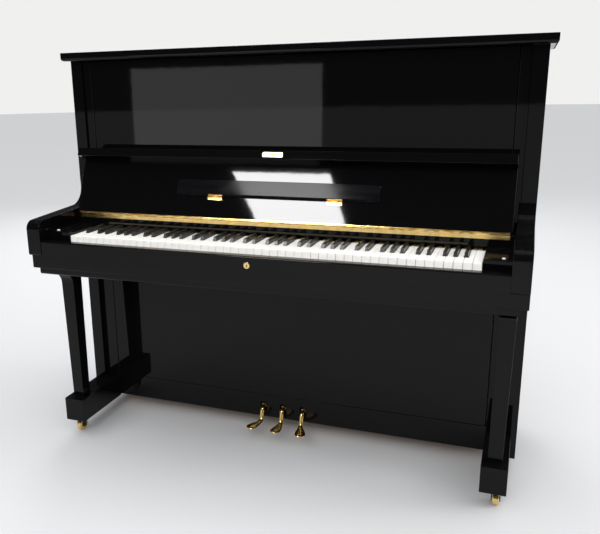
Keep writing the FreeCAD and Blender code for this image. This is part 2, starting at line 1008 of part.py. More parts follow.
def black_key(slots, n):
    """One sharp: a tapered cap on its stick."""
    slot_left, slot_right = slots[n][2:]
    middle = (slot_left + slot_right) / 2
    cap_front = key_front + head_length + white_gap
    cap_end = key_front + key_shoulder
    tail_end = key_front + key_length
    half_low = sharp_width / 2
    half_high = sharp_top_width / 2
    top = key_top + sharp_rise
    base = key_top - stick_drop
    stick = box(
        middle - half_low, middle + half_low, cap_front, tail_end, key_bottom, base
    )
    lower = Part.makePolygon(
        [
            Vector(middle - half_low, cap_front, base),
            Vector(middle + half_low, cap_front, base),
            Vector(middle + half_low, cap_end, base),
            Vector(middle - half_low, cap_end, base),
            Vector(middle - half_low, cap_front, base),
        ]
    )
    upper = Part.makePolygon(
        [
            Vector(middle - half_high, cap_front + sharp_slope, top),
            Vector(middle + half_high, cap_front + sharp_slope, top),
            Vector(middle + half_high, cap_end, top),
            Vector(middle - half_high, cap_end, top),
            Vector(middle - half_high, cap_front + sharp_slope, top),
        ]
    )
    cap = Part.makeLoft([lower, upper], True)
    cap = eased(
        cap, key_round, lambda b: b.ZMin > top - 0.1 and b.YMin < cap_end - 0.1
    )
    return stick.fuse(cap).removeSplitter()


def keys():
    """The keys of each note name, by node."""
    slots = key_slots()
    found = {}
    for n, (note, *_) in enumerate(slots):
        make = black_key if "_" in note else white_key
        found.setdefault("keys_" + note, []).append(make(slots, n))
    return found


def key_frame():
    """Front, balance and back rails that the keys lie over."""
    reach = keyboard_half
    rail_front = key_front + frame_rail_edge
    rail_back = rail_front + frame_rail
    front_top = key_bottom - front_rail_drop
    front_rail = box(-reach, reach, rail_front, rail_back, key_bed_top, front_top)
    half = frame_rail / 2
    low = key_bottom - balance_drop
    balance = box(-reach, reach, pivot_y - half, pivot_y + half, key_bed_top, low)
    ridge = box(
        -reach,
        reach,
        pivot_y - balance_ridge / 2,
        pivot_y + balance_ridge / 2,
        low,
        key_bottom - seat_gap,
    )
    tail = key_front + key_length
    back_rail = box(
        -reach, reach, tail - frame_rail, tail, key_bed_top, key_bottom - seat_gap
    )
    return [front_rail, balance.fuse(ridge).removeSplitter(), back_rail]


def pedal(index):
    """A brass pedal: lever through the slot, neck down and a flat, splayed foot."""
    x = pedal_x[index]
    half = pedal_width / 2
    pivot = front + pedal_pivot_y
    neck = front + pedal_neck_y
    top = pedal_pivot_z + pedal_thick / 2
    low = pedal_pivot_z - pedal_thick / 2
    sole = pedal_sole_z
    foot_y = front + pedal_foot_y
    lever = box(x - half, x + half, neck, pivot + pedal_tail, low, top)
    hub = Part.makeCylinder(
        pedal_hub, pedal_width, Vector(x - half, pivot, pedal_pivot_z), Vector(1, 0, 0)
    )
    neck_outline = [
        (neck, top),
        (neck + pedal_thick, top),
        (neck + pedal_thick, low),
        (neck - pedal_thick / 2, sole),
        (neck - 2 * pedal_thick, sole),
        (neck - pedal_thick, sole + pedal_thick),
    ]
    neck_bar = prism(neck_outline, x - half, x + half)
    neck_bar = eased(
        neck_bar,
        pedal_thick / 4,
        lambda b: b.XLength > 1 and b.YMax < neck + 1 and b.ZMin > low,
    )
    tip_x = x + pedal_splay[index]
    foot_half = pedal_foot_width / 2
    heel_y = neck
    toe_y = foot_y + foot_half
    curve = Part.BSplineCurve()
    curve.interpolate(
        [
            Vector(x - half, heel_y, sole),
            Vector(x - half - 1, heel_y - pedal_thick, sole),
            Vector(tip_x - foot_half, toe_y, sole),
            Vector(tip_x, foot_y, sole),
            Vector(tip_x + foot_half, toe_y, sole),
            Vector(x + half + 1, heel_y - pedal_thick, sole),
            Vector(x + half, heel_y, sole),
        ]
    )
    closing = Part.makeLine(Vector(x + half, heel_y, sole), Vector(x - half, heel_y, sole))
    foot = Part.Face(Part.Wire([curve.toShape(), closing])).extrude(
        Vector(0, 0, pedal_thick)
    )
    foot = eased(foot, pedal_thick / 3, lambda b: b.XLength > pedal_width + 3)
    whole = lever.fuse(hub).fuse(neck_bar).fuse(foot).removeSplitter()
    eye = Part.makeCylinder(
        pedal_pin + pedal_pin_clearance,
        pedal_width * 2,
        Vector(x - pedal_width, pivot, pedal_pivot_z),
        Vector(1, 0, 0),
    )
    return whole.cut(eye)


def pedal_brackets():
    """A forked bracket with its pin for each pedal, on the bottom board."""
    brackets = []
    pivot = front + pedal_pivot_y
    base = rail_bottom + bottom_board_thick
    inner = pedal_width / 2 + bracket_gap
    outer = inner + bracket_cheek
    top = pedal_pivot_z + pedal_hub
    for x in pedal_x:
        cheeks = []
        for side in (-1, 1):
            x0, x1 = sorted((x + side * inner, x + side * outer))
            cheeks.append(
                box(x0, x1, pivot - bracket_length / 2, pivot + bracket_length / 2, base, top)
            )
        pin = Part.makeCylinder(
            pedal_pin, 2 * outer, Vector(x - outer, pivot, pedal_pivot_z), Vector(1, 0, 0)
        )
        foot = box(
            x - outer,
            x + outer,
            pivot - bracket_length / 2,
            pivot + bracket_length / 2,
            base,
            base + bracket_cheek / 2,
        )
        brackets.append(pin.multiFuse(cheeks + [foot]).removeSplitter())
    return brackets


def pedal_rod(index):
    """A dowel that stands on a pedal's tail and reaches up to the action."""
    x = pedal_x[index]
    y = front + pedal_pivot_y + rod_lever
    bottom = pedal_pivot_z + pedal_thick / 2 + rod_pad
    return rod(rod_radius, Vector(x, y, bottom), Vector(x, y, rod_top))


def casters():
    """Forks with their axles, front wheels and rear wheels."""
    places = [
        (front_caster_x, front + front_caster_y, toe_bottom),
        (half_width - rear_caster_inset, back - rear_caster_y, side_bottom),
    ]
    forks = []
    wheels = []
    cheek_in = wheel_width / 2 + wheel_gap
    cheek_out = cheek_in + fork_cheek
    for x, y, top in places:
        plate = box(
            x - fork_size / 2,
            x + fork_size / 2,
            y - fork_size / 2,
            y + fork_size / 2,
            top - fork_plate,
            top,
        )
        parts = []
        for side in (-1, 1):
            x0, x1 = sorted((x + side * cheek_in, x + side * cheek_out))
            parts.append(
                box(
                    x0,
                    x1,
                    y - fork_leg / 2,
                    y + fork_leg / 2,
                    wheel_radius - fork_leg / 2,
                    top - fork_plate,
                )
            )
        parts.append(
            Part.makeCylinder(
                axle_radius, 2 * cheek_out, Vector(x - cheek_out, y, wheel_radius), Vector(1, 0, 0)
            )
        )
        forks += pair(plate.multiFuse(parts).removeSplitter())
        wheel = Part.makeCylinder(
            wheel_radius, wheel_width, Vector(x - wheel_width / 2, y, wheel_radius), Vector(1, 0, 0)
        )
        wheel = wheel.makeFillet(wheel_crown, [e for e in wheel.Edges if e.BoundBox.XLength < 0.1])
        eye = Part.makeCylinder(
            axle_radius + axle_clearance,
            2 * wheel_width,
            Vector(x - wheel_width, y, wheel_radius),
            Vector(1, 0, 0),
        )
        wheels.append(pair(wheel.cut(eye)))
    return forks, wheels


def back_frame():
    """Posts, sill, top beam, pin block and the liners round the soundboard."""
    top = lid_bottom
    solids = [
        box(-inner_x, inner_x, post_front, back, side_bottom, side_bottom + back_sill),
        box(-inner_x, inner_x, post_front, back, pin_block_bottom, top),
        box(
            -inner_x,
            inner_x,
            front + plate_front + plate_web,
            post_front,
            pin_block_bottom,
            top,
        ),
    ]
    span = 2 * (inner_x - post_inset)
    for n in range(post_count):
        x = -inner_x + post_inset + n * span / (post_count - 1)
        solids.append(
            box(
                x - post_width / 2,
                x + post_width / 2,
                post_front,
                back,
                side_bottom + back_sill,
                pin_block_bottom,
            )
        )
    liner = box(
        inner_x - liner_width,
        inner_x,
        soundboard_face + soundboard_thick,
        post_front,
        side_bottom + back_sill,
        pin_block_bottom,
    )
    return solids + pair(liner)


def soundboard():
    """Thin spruce board between the liners and the plate."""
    return box(
        -inner_x,
        inner_x,
        soundboard_face,
        soundboard_face + soundboard_thick,
        side_bottom + back_sill,
        pin_block_bottom,
    )


def plate_bars(grow):
    """The plate's upright bars, or the room that they need."""
    y = front + plate_front
    low = side_bottom + back_sill + plate_foot
    half = plate_bar / 2 + grow
    return [
        box(x - half, x + half, y, y + plate_web + grow, low - 1, pin_block_bottom)
        for x in plate_bar_x
    ]


def hitch_strip():
    """Web along the treble strings' lower ends, where they are hitched."""
    ends = [line[4] for line in string_lines() if line[0] == strings_y]
    ends = ends[:: len(ends) // hitch_steps] + ends[-1:]
    y = front + plate_front
    ring = [Vector(x, y, z) for x, z in ends]
    ring += [Vector(x, y, z - hitch_depth) for x, z in reversed(ends)]
    face = Part.Face(Part.makePolygon(ring + ring[:1]))
    return face.extrude(Vector(0, plate_web, 0))


def iron_plate():
    """Cast plate: web over the pin block, rim, foot, bars and hitch strip."""
    y = front + plate_front
    edge = inner_x - 1
    low = side_bottom + back_sill
    web = box(-edge, edge, y, y + plate_web, pin_block_bottom - plate_bar, lid_bottom - plate_bar)
    parts = [
        box(-edge, -edge + plate_border, y, y + plate_rim, low, pin_block_bottom - 1),
        box(edge - plate_border, edge, y, y + plate_rim, low, pin_block_bottom - 1),
        box(-edge, edge, y, y + plate_rim, low, low + plate_foot),
    ]
    parts += plate_bars(0)
    parts.append(hitch_strip())
    return web.multiFuse(parts).removeSplitter()


def string_lines():
    """Each string's plane, radius and three points: pin, bend and lower end."""
    count = key_count
    top = lid_bottom - pins_below_top
    bend_z = top - tuning_rows * tuning_row_pitch
    low = side_bottom + back_sill + plate_foot - string_lift
    reach = inner_x - 2 * plate_border
    found = []
    for n in range(count):
        x = -reach + 2 * reach * n / (count - 1)
        z = top - (n % tuning_rows) * tuning_row_pitch
        bass = n < bass_count
        each = 2 if bass else 3
        if bass:
            end_x = x + bass_cross
            end_z = low
        else:
            end_x = x - treble_lean
            rise = (n - bass_count) / (count - bass_count)
            end_z = low + treble_foot + treble_climb * rise**treble_curve
        plane = bass_y if bass else strings_y
        radius = bass_string_radius if bass else treble_string_radius
        for m in range(each):
            shift = m - (each - 1) / 2
            pin = (x + shift * pin_spread, z - m * pin_drop)
            bend = (pin[0] - string_end_gap, bend_z)
            end = (end_x + shift * string_spread, end_z)
            found.append((plane, radius, pin, bend, end))
    return found


def strings_and_pins():
    """The wire strings and the steel pins that tune them."""
    solids = []
    for plane, radius, pin, bend, end in string_lines():
        start = Vector(pin[0] - string_end_gap, plane, pin[1])
        turn = Vector(bend[0], plane, bend[1])
        foot = Vector(end[0], plane, end[1])
        solids.append(rod(radius, start, turn).fuse(rod(radius, turn, foot)))
        y0 = front + plate_front - tuning_pin_proud
        solids.append(
            Part.makeCylinder(
                tuning_pin_radius, tuning_pin_length, Vector(pin[0], y0, pin[1]), Vector(0, 1, 0)
            )
        )
    return solids


def bridge(first, last, share, plane):
    """A bridge on the soundboard under the strings from one to another."""
    corners = []
    for line in (first, last):
        bend, end = line[3], line[4]
        x = bend[0] + (end[0] - bend[0]) * share
        z = bend[1] + (end[1] - bend[1]) * share
        corners.append((x, z))
    (x0, z0), (x1, z1) = corners
    half = bridge_width / 2
    ring = [
        Vector(x0, plane, z0 - half),
        Vector(x1, plane, z1 - half),
        Vector(x1, plane, z1 + half),
        Vector(x0, plane, z0 + half),
    ]
    face = Part.Face(Part.makePolygon(ring + ring[:1]))
    solid = face.extrude(Vector(0, soundboard_face - plane, 0))
    for bar in plate_bars(fit_gap):
        solid = solid.cut(bar)
        box_of = bar.BoundBox
        solid = solid.cut(
            box(box_of.XMin, box_of.XMax, plane - 1, box_of.YMin + 1, box_of.ZMin, box_of.ZMax)
        )
    return solid


def ribs_and_bridges():
    """Slanted ribs behind the soundboard; treble and bass bridges before it."""
    solids = []
    low = side_bottom + back_sill
    face = soundboard_face + soundboard_thick
    reach = inner_x - liner_width - fit_gap
    room = box(-reach, reach, face, rib_back, low, pin_block_bottom)
    for n in range(rib_count):
        x = -inner_x + (n + 0.5) * 2 * inner_x / rib_count
        bar = box(-case_width, case_width, face, rib_back, -rib_width / 2, rib_width / 2)
        bar.rotate(Vector(0, 0, 0), Vector(0, 1, 0), -rib_tilt)
        bar.translate(Vector(x, 0, (low + pin_block_bottom) / 2))
        solids.append(bar.common(room))
    lines = string_lines()
    bass = [line for line in lines if line[0] == bass_y]
    treble = [line for line in lines if line[0] == strings_y]
    bass_top = bass_y + bass_string_radius + bridge_gap
    treble_top = strings_y + treble_string_radius + bridge_gap
    solids.append(bridge(bass[0], bass[-1], bass_bridge_share, bass_top))
    solids.append(bridge(treble[0], treble[-1], bridge_share, treble_top))
    return solids


def key_centres():
    """The X of every key's stick, where its part of the action stands."""
    return [(left + right) / 2 for _, _, left, right in key_slots()]


def action_brackets():
    """Cast brackets that stand on the key bed and carry the action."""
    solids = []
    y0 = front + bracket_front
    y1 = front + bracket_back
    bar = bracket_bar
    for x in bracket_x:
        x0 = x - bracket_thick / 2
        x1 = x + bracket_thick / 2
        post = box(x0, x1, y1 - bar, y1, key_bed_top, bracket_top)
        head = box(x0, x1, y0, y1, bracket_head_z, bracket_head_z + bar)
        solids.append(post.fuse(head).removeSplitter())
    return solids


def main_rail():
    """Hardwood rail, notched round the brackets' posts."""
    y0 = front + main_rail_front
    rail = box(
        -action_x,
        action_x,
        y0,
        y0 + main_rail_depth,
        main_rail_z,
        main_rail_z + main_rail_height,
    )
    for bracket in action_brackets():
        rail = rail.cut(bracket)
    return rail


def wippen(x):
    """One wippen with its sticker and jack."""
    y0 = front + wippen_front
    y1 = y0 + wippen_length
    x0 = x - hammer_width / 2
    x1 = x + hammer_width / 2
    lever = box(x0, x1, y0, y1, wippen_z, wippen_z + wippen_height)
    sticker = box(
        x0, x1, y0 + sticker_depth, y0 + 2 * sticker_depth, wippen_z - sticker_height, wippen_z
    )
    jack = box(
        x0,
        x1,
        y0 + wippen_length / 2,
        y0 + wippen_length / 2 + sticker_depth,
        wippen_z + wippen_height,
        wippen_z + wippen_height + jack_height,
    )
    return lever.fuse(sticker).fuse(jack).removeSplitter()


def hammer(x):
    """One hammer: butt, shank and felt head."""
    pivot = front + hammer_pivot_y
    x0 = x - hammer_width / 2
    butt = box(
        x0,
        x0 + hammer_width,
        pivot - hammer_butt / 2,
        pivot + hammer_butt / 2,
        hammer_pivot_z - hammer_butt / 2,
        hammer_pivot_z + hammer_butt / 2,
    )
    head_z = hammer_pivot_z + hammer_rise
    head_y = pivot - hammer_lean
    shank = rod(
        hammer_shank / 2,
        Vector(x, pivot, hammer_pivot_z),
        Vector(x, head_y, head_z),
    )
    half = hammer_head_height / 2
    tail_y = head_y - hammer_head / 2
    tip_y = head_y + hammer_head / 2
    outline = [
        (tail_y, head_z - half / 2),
        (tail_y, head_z + half / 2),
        (head_y, head_z + half),
        (tip_y - half / 2, head_z + half / 2),
        (tip_y, head_z),
        (tip_y - half / 2, head_z - half / 2),
        (head_y, head_z - half),
    ]
    head = prism(outline, x0, x0 + hammer_width)
    return butt.fuse(shank).fuse(head).removeSplitter()


def hammers():
    """All the hammers, and the rail that they lean back on."""
    y0 = front + rest_rail_y
    z0 = hammer_pivot_z + hammer_rise / 2
    rail = box(-action_x, action_x, y0, y0 + rest_rail_depth, z0, z0 + rest_rail_height)
    return [hammer(x) for x in key_centres()] + [rail]


def damper(x):
    """One damper: lever, wire and felt."""
    pivot = front + damper_pivot_y
    x0 = x - damper_width / 2
    x1 = x + damper_width / 2
    half = damper_arm / 2
    lever = box(
        x0,
        x1,
        pivot - half,
        pivot + half,
        damper_pivot_z - 2 * damper_arm,
        damper_pivot_z + damper_rise,
    )
    pad = box(
        x0,
        x1,
        pivot + half,
        pivot + half + damper_head_depth,
        damper_pivot_z + damper_rise - damper_head_height,
        damper_pivot_z + damper_rise,
    )
    return lever.fuse(pad).removeSplitter()


def muffler_rail():
    """Batten with a strip of felt that drops between hammers and strings."""
    y = front + muffler_y
    felt = box(
        -action_x,
        action_x,
        y,
        y + muffler_thick,
        muffler_bottom,
        muffler_bottom + muffler_height,
    )
    batten = box(
        -action_x,
        action_x,
        y - muffler_batten / 2,
        y + muffler_thick,
        muffler_bottom + muffler_height,
        muffler_bottom + muffler_height + muffler_batten,
    )
    return felt.fuse(batten).removeSplitter()


for name, make in (("side_panel", side_panel), ("arm", arm)):
    piece = make()
    save("right_" + name, [piece])
    save("left_" + name, [mirrored(piece)])
save("legs", pair(leg()))
save("toe_blocks", pair(toe_block()))

forks, (front_wheels, rear_wheels) = casters()
save("caster_forks", forks)
save("front_caster_wheels", front_wheels)
save("rear_caster_wheels", rear_wheels)

save("key_bed", key_bed())
save("key_slip", [key_slip()])
save("key_blocks", key_blocks())
save("nameboard", nameboard())
save("front_stiles", front_stiles())
save("upper_panel", [upper_panel()])
save("lower_panel", [lower_panel()])
save("bottom_rail", [bottom_rail()])
save("bottom_board", [bottom_board()])

save("rear_lid", [lid(lid_hinge_y + lid_barrel_radius, back, False)])
save("front_lid", [lid(case_front - lid_nose, lid_hinge_y - lid_barrel_radius, True)])
lid_hinge = continuous_hinge(
    2 * (half_width - hinge_inset),
    lid_barrel_radius,
    lid_leaf_width,
    lid_leaf_width,
    lid_hinge_y,
    lid_top,
)
save("lid_hinge_fixed_leaf", [lid_hinge[0]])
save("lid_hinge_moving_leaf", [lid_hinge[1]])

save("fallboard", [fallboard()])
fallboard_hinge = continuous_hinge(
    2 * (arm_inner_x - fallboard_side_gap - hinge_inset),
    barrel_radius,
    fixed_leaf_width,
    moving_leaf_width,
    axis_y,
    fallboard_axis_z,
)
save("fallboard_hinge_fixed_leaf", [fallboard_hinge[0]])
save("fallboard_hinge_moving_leaf", [opened(fallboard_hinge[1])])
save("music_ledge", [music_ledge()])
still_halves, swinging_halves = ledge_hinges()
save("music_ledge_hinge_plates", still_halves)
save("music_ledge_hinge_leaves", swinging_halves)
save("strike_plate", [strike_plate()])
save("lock_escutcheon", [lock_escutcheon()])

for node, solids in keys().items():
    save(node, solids)
save("key_frame", key_frame())

for number, names in enumerate(zip(pedal_names, rod_names)):
    save(names[0], [pedal(number)])
    save(names[1], [pedal_rod(number)])
save("pedal_brackets", pedal_brackets())

save("back_frame", back_frame())
save("soundboard", [soundboard()])
save("ribs_and_bridges", ribs_and_bridges())
save("iron_plate", [iron_plate()])
save("strings_and_pins", strings_and_pins())

save("action_frame", action_brackets() + [main_rail()])
save("wippens", [wippen(x) for x in key_centres()])
save("hammers", hammers())
save("dampers", [damper(x) for x in key_centres()[:damper_count]])
save("muffler_rail", [muffler_rail()])
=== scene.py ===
import math

import bpy
from mathutils import Matrix, Vector


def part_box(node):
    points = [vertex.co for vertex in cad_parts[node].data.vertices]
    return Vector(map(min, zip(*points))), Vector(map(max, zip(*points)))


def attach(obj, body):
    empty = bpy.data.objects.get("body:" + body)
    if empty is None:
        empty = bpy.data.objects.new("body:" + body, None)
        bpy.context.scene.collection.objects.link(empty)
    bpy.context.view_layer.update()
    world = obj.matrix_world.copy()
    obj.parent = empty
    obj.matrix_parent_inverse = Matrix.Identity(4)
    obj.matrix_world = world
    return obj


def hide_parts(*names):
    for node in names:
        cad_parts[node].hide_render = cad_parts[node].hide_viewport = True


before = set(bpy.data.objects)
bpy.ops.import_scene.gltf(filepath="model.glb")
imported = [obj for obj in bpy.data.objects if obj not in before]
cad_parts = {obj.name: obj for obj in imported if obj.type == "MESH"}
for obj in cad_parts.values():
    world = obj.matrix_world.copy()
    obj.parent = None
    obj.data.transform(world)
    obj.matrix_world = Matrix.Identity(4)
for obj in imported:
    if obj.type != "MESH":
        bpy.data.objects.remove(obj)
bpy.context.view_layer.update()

# ---------------------------------------------------------------------------
# Studio: a plain pale floor and soft lamps. One panel hangs above and ahead of
# the keyboard, where the open fallboard mirrors it, and a dim card stands well
# in front of the piano, where the upper panel mirrors it.
bpy.ops.object.select_all(action="DESELECT")
bpy.ops.mesh.primitive_circle_add(vertices=96, radius=40.0, fill_type="NGON", location=(0, 0, 0))
floor = bpy.context.active_object
floor.name = "studio_floor"
floor_finish = bpy.data.materials.new("pale_floor")
floor_finish.use_nodes = True
floor_shader = floor_finish.node_tree.nodes["Principled BSDF"]
floor_shader.inputs["Base Color"].default_value = (0.47, 0.475, 0.485, 1)
floor_shader.inputs["Roughness"].default_value = 0.9
floor_shader.inputs["Specular IOR Level"].default_value = 0.2
floor.data.materials.append(floor_finish)

world = bpy.data.worlds.new("studio_air")
bpy.context.scene.world = world
world.use_nodes = True
air = world.node_tree
room = air.nodes["Background"]
room.inputs["Color"].default_value = (0.90, 0.92, 1.0, 1)
room.inputs["Strength"].default_value = 0.06
wall = air.nodes.new("ShaderNodeBackground")
wall.inputs["Color"].default_value = (0.87, 0.87, 0.86, 1)
wall.inputs["Strength"].default_value = 1.0
seen = air.nodes.new("ShaderNodeLightPath")
either = air.nodes.new("ShaderNodeMixShader")
air.links.new(seen.outputs["Is Camera Ray"], either.inputs[0])
air.links.new(room.outputs[0], either.inputs[1])
air.links.new(wall.outputs[0], either.inputs[2])
air.links.new(either.outputs[0], air.nodes["World Output"].inputs["Surface"])
bpy.context.scene.view_settings.view_transform = "Standard"


def softbox(name, place, aim, width, height, watts, only=""):
    """A rectangular lamp that faces a point; it may be only mirrored or only light."""
    lamp = bpy.data.lights.new(name, "AREA")
    lamp.shape = "RECTANGLE"
    lamp.size = width
    lamp.size_y = height
    lamp.energy = watts
    stand = bpy.data.objects.new(name, lamp)
    stand.location = place
    stand.rotation_euler = (Vector(aim) - Vector(place)).to_track_quat("-Z", "Y").to_euler()
    stand.visible_camera = False
    stand.visible_diffuse = only != "mirrored"
    stand.visible_glossy = only != "light"
    bpy.context.collection.objects.link(stand)


softbox("ceiling_panel", (-0.96, -2.69, 2.6), (-0.96, -2.69, 0), 0.74, 0.72, 110, "mirrored")
softbox("overhead_panel", (0.2, -0.2, 4.6), (0.2, -0.2, 0), 6.0, 3.6, 40)
sky = bpy.data.lights.new("soft_sky", "SUN")
sky.energy = 4.3
sky.angle = math.radians(110)
sky_stand = bpy.data.objects.new("soft_sky", sky)
sky_stand.rotation_euler = (math.radians(12), math.radians(10), 0)
sky_stand.visible_camera = False
sky_stand.visible_glossy = False
bpy.context.collection.objects.link(sky_stand)
softbox("dim_card", (-1.76, -3.6, 0.95), (-1.76, 0, 0.95), 1.75, 0.75, 9.0, "mirrored")
softbox("front_fill", (0.3, -3.2, 2.2), (0, 0, 0.5), 2.0, 1.2, 60, "light")
softbox("side_window", (4.2, 0.6, 2.2), (0, 0, 0.6), 1.6, 1.8, 70)
softbox("back_window", (-1.8, 4.0, 2.4), (0, 0, 0.6), 2.4, 1.6, 90)

eye = Vector((0.70085, -2.05869, 1.14570))
turn, tip, lean = 0.3753, -0.2625, -0.0191
ahead = Vector((-math.sin(turn) * math.cos(tip), math.cos(turn) * math.cos(tip), math.sin(tip)))
level = Vector((math.cos(turn), math.sin(turn), 0))
upward = level.cross(ahead)
across = math.cos(lean) * level + math.sin(lean) * upward
upright = -math.sin(lean) * level + math.cos(lean) * upward
view = bpy.data.cameras.new("camera")
view.sensor_width = 36
view.lens = 42.15
view.shift_x = 0.0793
view.shift_y = 0.0164
camera = bpy.data.objects.new("camera", view)
camera.matrix_world = Matrix((
    (across.x, upright.x, -ahead.x, eye.x),
    (across.y, upright.y, -ahead.y, eye.y),
    (across.z, upright.z, -ahead.z, eye.z),
    (0, 0, 0, 1),
))
bpy.context.collection.objects.link(camera)
bpy.context.scene.camera = camera


# ---------------------------------------------------------------------------
# Case boards: black polyester, sprayed thick and buffed to a mirror. It keeps a
# faint orange peel, a haze of wipe marks and a little dust on level faces.
class Flow:
    """A socket of one material, with arithmetic that adds its nodes."""

    def __init__(self, tree, socket):
        self.tree = tree
        self.socket = socket

    def math(self, operation, other):
        made = self.tree.nodes.new("ShaderNodeMath")
        made.operation = operation
        for slot, value in zip(made.inputs, (self, other)):
            if isinstance(value, Flow):
                self.tree.links.new(value.socket, slot)
            else:
                slot.default_value = value
        return Flow(self.tree, made.outputs[0])

    def __add__(self, other):
        return self.math("ADD", other)

    __radd__ = __add__

    def __mul__(self, other):
        return self.math("MULTIPLY", other)

    __rmul__ = __mul__

    def __gt__(self, other):
        return self.math("GREATER_THAN", other)

    def __lt__(self, other):
        return self.math("LESS_THAN", other)


class Finish:
    """A material whose nodes are made one call at a time."""

    def __init__(self, name):
        self.material = bpy.data.materials.new(name)
        self.material.use_nodes = True
        self.tree = self.material.node_tree
        self.shader = self.tree.nodes["Principled BSDF"]

    def node(self, kind, settings=None, inputs=None, output=0):
        made = self.tree.nodes.new(kind)
        for key, value in (settings or {}).items():
            if key == "stops":
                ramp = made.color_ramp
                while len(ramp.elements) < len(value):
                    ramp.elements.new(1.0)
                for element, (place, colour) in zip(ramp.elements, value):
                    element.position = place
                    element.color = colour
            else:
                setattr(made, key, value)
        for key, value in (inputs or {}).items():
            if isinstance(value, Flow):
                self.tree.links.new(value.socket, made.inputs[key])
            else:
                made.inputs[key].default_value = value
        return Flow(self.tree, made.outputs[output])

    def place(self):
        return self.node("ShaderNodeTexCoord", output=3)

    def noise(self, scale, detail, stretch=(1, 1, 1)):
        at = self.node(
            "ShaderNodeMapping", {}, {"Vector": self.place(), "Scale": stretch}
        )
        return self.node(
            "ShaderNodeTexNoise",
            {},
            {"Vector": at, "Scale": scale, "Detail": detail},
        )

    def ramp(self, flow, *stops):
        return self.node("ShaderNodeValToRGB", {"stops": stops}, {"Fac": flow})

    def blend(self, factor, first, second):
        return self.node(
            "ShaderNodeMix",
            {"data_type": "RGBA"},
            {0: factor, 6: first, 7: second},
            output=2,
        )

    def bump(self, height, strength, distance):
        return self.node(
            "ShaderNodeBump",
            {},
            {"Height": height, "Strength": strength, "Distance": distance},
        )

    def set(self, **values):
        for key, value in values.items():
            slot = self.shader.inputs[key.replace("_", " ")]
            if isinstance(value, Flow):
                self.tree.links.new(value.socket, slot)
            else:
                slot.default_value = value
        return self.material


def coat(finish, *nodes):
    """Gives a finish to the frame's own nodes."""
    for name in nodes:
        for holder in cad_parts[name].material_slots:
            holder.material = finish


polish = Finish("black_polyester")
peel = polish.noise(26.0, 3.0)
haze = polish.noise(5.0, 4.0, (1.0, 1.0, 0.6))
specks = polish.noise(900.0, 1.0)
face_normal = polish.node("ShaderNodeNewGeometry", output=1)
upward_share = polish.node("ShaderNodeSeparateXYZ", {}, {"Vector": face_normal}, output=2)
speck_limit = 0.70
level_limit = 0.7
dust = (specks > speck_limit) * (upward_share > level_limit)
black_polyester = polish.set(
    Base_Color=polish.blend(dust * 0.2, (0.0018, 0.0018, 0.002, 1), (0.25, 0.24, 0.23, 1)),
    Roughness=0.018 + haze * 0.03 + dust * 0.3,
    Normal=polish.bump(peel, 0.02, 0.0015),
    Specular_IOR_Level=0.17,
)
coat(
    black_polyester,
    "left_side_panel",
    "right_side_panel",
    "front_stiles",
    "upper_panel",
    "lower_panel",
    "bottom_rail",
)

# ---------------------------------------------------------------------------
# Arms: shaped from thick stock and let into the sides, which they carry
# forward past the keyboard. They have the same black finish.
coat(black_polyester, "left_arm", "right_arm")

# ---------------------------------------------------------------------------
# Legs and toe blocks: tapered posts dowelled up into the key bed and down into
# the blocks that carry the casters, in the same black.
coat(black_polyester, "legs", "toe_blocks")

# ---------------------------------------------------------------------------
# Lids: two black boards over the case, rounded below the nose and ends. The
# front one folds back over the rear one on a full-length hinge.
coat(black_polyester, "rear_lid", "front_lid")

# ---------------------------------------------------------------------------
# Keyboard woodwork: the bed with its moulding, the slip in front of the keys,
# the blocks at their ends and the nameboard behind, all finished black.
coat(black_polyester, "key_bed", "key_slip", "key_blocks", "nameboard")

# ---------------------------------------------------------------------------
# Fallboard: a black board with a deep lip. Its hinge lets it turn down
# over the keys.
coat(black_polyester, "fallboard")

# ---------------------------------------------------------------------------
# Music ledge: the same black, rubbed to a satin by years of books, so the room
# shows in it only as a soft grey.
rubbed = Finish("rubbed_polyester")
scuffs = rubbed.noise(70.0, 4.0, (0.2, 1.0, 1.0))
rubbed_polyester = rubbed.set(
    Base_Color=rubbed.ramp(
        scuffs, (0.3, (0.003, 0.003, 0.0035, 1)), (0.8, (0.005, 0.0053, 0.006, 1))
    ),
    Roughness=0.05 + scuffs * 0.08,
    Specular_IOR_Level=0.04,
)
coat(rubbed_polyester, "music_ledge")

# ---------------------------------------------------------------------------
# Hinges: rolled brass, polished, gone a little warm and cloudy with handling.
# Full-length ones carry the lid and the fallboard; two butts carry the ledge.
gilt = Finish("polished_brass")
cloud = gilt.noise(60.0, 4.0)
brushing = gilt.noise(120.0, 2.0, (0.05, 1.0, 1.0))
polished_brass = gilt.set(
    Base_Color=gilt.ramp(cloud, (0.3, (0.80, 0.53, 0.17, 1)), (0.75, (0.95, 0.72, 0.32, 1))),
    Metallic=1.0,
    Roughness=0.16 + cloud * 0.14,
    Normal=gilt.bump(brushing, 0.04, 0.002),
)
coat(
    polished_brass,
    "lid_hinge_fixed_leaf",
    "lid_hinge_moving_leaf",
    "fallboard_hinge_fixed_leaf",
    "fallboard_hinge_moving_leaf",
    "music_ledge_hinge_plates",
    "music_ledge_hinge_leaves",
)

# ---------------------------------------------------------------------------
# Lock furniture: a pressed brass escutcheon on the slip and the strike plate
# let into the edge of the fallboard.
coat(polished_brass, "lock_escutcheon", "strike_plate")

